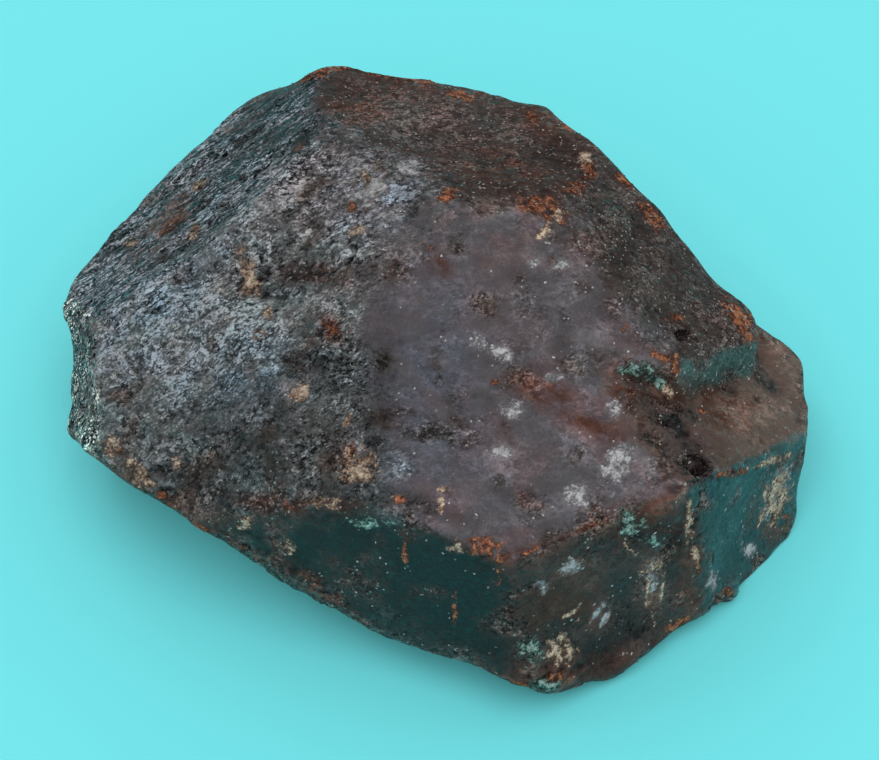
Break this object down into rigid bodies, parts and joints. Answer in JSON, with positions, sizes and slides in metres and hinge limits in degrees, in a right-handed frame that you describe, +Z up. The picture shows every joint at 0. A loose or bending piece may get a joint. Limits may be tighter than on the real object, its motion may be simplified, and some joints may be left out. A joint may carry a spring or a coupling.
{
  "type": "garnet crystal",
  "caption": "Loose weathered garnet crystal: flat growth faces, a stepped corner, worn ridges and a flat broken underside it rests on.",
  "frame": {"origin": "middle of the footprint's bounding box, on the flat broken underside", "axes": "+X along the longest extent, +Y across the depth, +Z up from the surface it rests on"},
  "size_m": [0.0484, 0.0434, 0.0189],
  "materials": {
    "garnet": "dull to satin, near-black purple-brown garnet with grey and rust-coloured weathering films"
  },
  "bodies": {
    "root": {"garnet_crystal": "garnet"}
  },
  "joints": []
}
